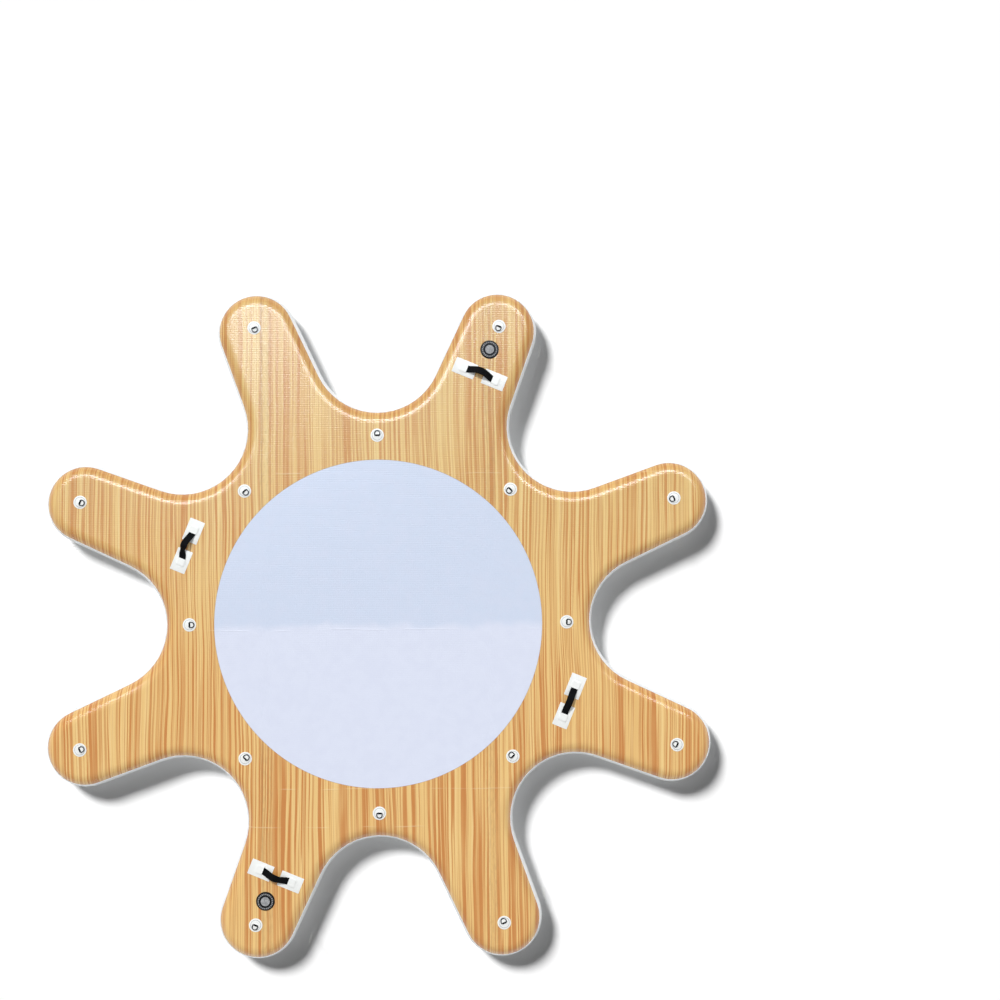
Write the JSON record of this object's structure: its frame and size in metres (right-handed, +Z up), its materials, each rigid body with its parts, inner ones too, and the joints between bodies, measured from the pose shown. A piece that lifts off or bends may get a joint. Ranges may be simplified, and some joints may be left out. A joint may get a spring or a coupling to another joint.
{
  "type": "inflatable dock platform",
  "caption": "Star-shaped inflatable dock platform with rounded arms, ring patches, carry handles and air valves; boards moor between the arms.",
  "frame": {"origin": "middle of the underside, on the surface that the platform rests on", "axes": "+Z up out of the deck; +Y towards the top of the picture and +X to its right, each through a valley between two arms"},
  "size_m": [2.8386, 2.8386, 0.1904],
  "materials": {
    "printed_wood_skin": "satin PVC sheet with a printed wood grain and a plain pale blue round print",
    "white_pvc": "satin white PVC-coated fabric",
    "core_cloth": "woven polyester",
    "black_webbing": "woven nylon webbing",
    "steel_wire": "polished stainless wire",
    "black_plastic": "moulded, satin",
    "grey_plastic": "moulded, satin",
    "white_plastic": "moulded, satin"
  },
  "bodies": {
    "platform": {"deck_skin": "printed_wood_skin", "bottom_skin": "white_pvc", "rail_band": "white_pvc", "drop_stitch_core": "core_cloth", "seam_tape_left": "white_pvc", "seam_tape_right": "white_pvc", "tip_ring_1_patch": "white_pvc", "tip_ring_2_patch": "white_pvc", "tip_ring_3_patch": "white_pvc", "tip_ring_4_patch": "white_pvc", "tip_ring_5_patch": "white_pvc", "tip_ring_6_patch": "white_pvc", "tip_ring_7_patch": "white_pvc", "tip_ring_8_patch": "white_pvc", "valley_ring_1_patch": "white_pvc", "valley_ring_2_patch": "white_pvc", "valley_ring_3_patch": "white_pvc", "valley_ring_4_patch": "white_pvc", "valley_ring_5_patch": "white_pvc", "valley_ring_6_patch": "white_pvc", "valley_ring_7_patch": "white_pvc", "valley_ring_8_patch": "white_pvc", "handle_outer_right_strap": "black_webbing", "handle_outer_right_patch_a": "white_pvc", "handle_outer_right_patch_b": "white_pvc", "handle_inner_left_strap": "black_webbing", "handle_inner_left_patch_a": "white_pvc", "handle_inner_left_patch_b": "white_pvc", "handle_inner_right_strap": "black_webbing", "handle_inner_right_patch_a": "white_pvc", "handle_inner_right_patch_b": "white_pvc", "handle_outer_left_strap": "black_webbing", "handle_outer_left_patch_a": "white_pvc", "handle_outer_left_patch_b": "white_pvc", "valve_1_body": "black_plastic", "valve_1_nut": "black_plastic", "valve_1_spring": "steel_wire", "valve_2_body": "black_plastic", "valve_2_nut": "black_plastic", "valve_2_spring": "steel_wire"},
    "tip_ring_1": {"tip_ring_1": "steel_wire"},
    "tip_ring_2": {"tip_ring_2": "steel_wire"},
    "tip_ring_3": {"tip_ring_3": "steel_wire"},
    "tip_ring_4": {"tip_ring_4": "steel_wire"},
    "tip_ring_5": {"tip_ring_5": "steel_wire"},
    "tip_ring_6": {"tip_ring_6": "steel_wire"},
    "tip_ring_7": {"tip_ring_7": "steel_wire"},
    "tip_ring_8": {"tip_ring_8": "steel_wire"},
    "valley_ring_1": {"valley_ring_1": "steel_wire"},
    "valley_ring_2": {"valley_ring_2": "steel_wire"},
    "valley_ring_3": {"valley_ring_3": "steel_wire"},
    "valley_ring_4": {"valley_ring_4": "steel_wire"},
    "valley_ring_5": {"valley_ring_5": "steel_wire"},
    "valley_ring_6": {"valley_ring_6": "steel_wire"},
    "valley_ring_7": {"valley_ring_7": "steel_wire"},
    "valley_ring_8": {"valley_ring_8": "steel_wire"},
    "valve_1_cap": {"valve_1_cap": "grey_plastic"},
    "valve_1_poppet": {"valve_1_poppet": "white_plastic"},
    "valve_2_cap": {"valve_2_cap": "grey_plastic"},
    "valve_2_poppet": {"valve_2_poppet": "white_plastic"}
  },
  "joints": [
    {"name": "tip_ring_1_hinge", "type": "hinge", "parent": "platform", "child": "tip_ring_1", "pos_m": [1.26756, 0.52504, 0.156], "axis": [-0.3827, 0.9239, 0], "range_deg": [0, 180]},
    {"name": "tip_ring_2_hinge", "type": "hinge", "parent": "platform", "child": "tip_ring_2", "pos_m": [0.52504, 1.26756, 0.156], "axis": [-0.9239, 0.3827, 0], "range_deg": [0, 180]},
    {"name": "tip_ring_3_hinge", "type": "hinge", "parent": "platform", "child": "tip_ring_3", "pos_m": [-0.52504, 1.26756, 0.156], "axis": [-0.9239, -0.3827, 0], "range_deg": [0, 180]},
    {"name": "tip_ring_4_hinge", "type": "hinge", "parent": "platform", "child": "tip_ring_4", "pos_m": [-1.26756, 0.52504, 0.156], "axis": [-0.3827, -0.9239, 0], "range_deg": [0, 180]},
    {"name": "tip_ring_5_hinge", "type": "hinge", "parent": "platform", "child": "tip_ring_5", "pos_m": [-1.26756, -0.52504, 0.156], "axis": [0.3827, -0.9239, 0], "range_deg": [0, 180]},
    {"name": "tip_ring_6_hinge", "type": "hinge", "parent": "platform", "child": "tip_ring_6", "pos_m": [-0.52504, -1.26756, 0.156], "axis": [-0.9239, 0.3827, 0], "range_deg": [0, 180]},
    {"name": "tip_ring_7_hinge", "type": "hinge", "parent": "platform", "child": "tip_ring_7", "pos_m": [0.52504, -1.26756, 0.156], "axis": [0.9239, 0.3827, 0], "range_deg": [0, 180]},
    {"name": "tip_ring_8_hinge", "type": "hinge", "parent": "platform", "child": "tip_ring_8", "pos_m": [1.26756, -0.52504, 0.156], "axis": [0.3827, 0.9239, 0], "range_deg": [0, 180]},
    {"name": "valley_ring_1_hinge", "type": "hinge", "parent": "platform", "child": "valley_ring_1", "pos_m": [0.803, 0, 0.156], "axis": [0, -1, 0], "range_deg": [0, 180]},
    {"name": "valley_ring_2_hinge", "type": "hinge", "parent": "platform", "child": "valley_ring_2", "pos_m": [0.56781, 0.56781, 0.156], "axis": [-0.7071, 0.7071, 0], "range_deg": [0, 180]},
    {"name": "valley_ring_3_hinge", "type": "hinge", "parent": "platform", "child": "valley_ring_3", "pos_m": [0, 0.803, 0.156], "axis": [1, 0, 0], "range_deg": [0, 180]},
    {"name": "valley_ring_4_hinge", "type": "hinge", "parent": "platform", "child": "valley_ring_4", "pos_m": [-0.56781, 0.56781, 0.156], "axis": [-0.7071, -0.7071, 0], "range_deg": [0, 180]},
    {"name": "valley_ring_5_hinge", "type": "hinge", "parent": "platform", "child": "valley_ring_5", "pos_m": [-0.803, 0, 0.156], "axis": [0, -1, 0], "range_deg": [0, 180]},
    {"name": "valley_ring_6_hinge", "type": "hinge", "parent": "platform", "child": "valley_ring_6", "pos_m": [-0.56781, -0.56781, 0.156], "axis": [0.7071, -0.7071, 0], "range_deg": [0, 180]},
    {"name": "valley_ring_7_hinge", "type": "hinge", "parent": "platform", "child": "valley_ring_7", "pos_m": [0, -0.803, 0.156], "axis": [-1, 0, 0], "range_deg": [0, 180]},
    {"name": "valley_ring_8_hinge", "type": "hinge", "parent": "platform", "child": "valley_ring_8", "pos_m": [0.56781, -0.56781, 0.156], "axis": [0.7071, 0.7071, 0], "range_deg": [0, 180]},
    {"name": "valve_1_cap_lift", "type": "slide", "parent": "platform", "child": "valve_1_cap", "axis": [0, 0, 1], "range_m": [0, 0.035]},
    {"name": "valve_1_poppet_press", "type": "slide", "parent": "platform", "child": "valve_1_poppet", "axis": [0, 0, -1], "range_m": [0, 0.006], "stiffness_N_per_m": 400, "springref_m": -0.003, "deforming": ["valve_1_spring"]},
    {"name": "valve_2_cap_lift", "type": "slide", "parent": "platform", "child": "valve_2_cap", "axis": [0, 0, 1], "range_m": [0, 0.035]},
    {"name": "valve_2_poppet_press", "type": "slide", "parent": "platform", "child": "valve_2_poppet", "axis": [0, 0, -1], "range_m": [0, 0.006], "stiffness_N_per_m": 400, "springref_m": -0.003, "deforming": ["valve_2_spring"]}
  ]
}
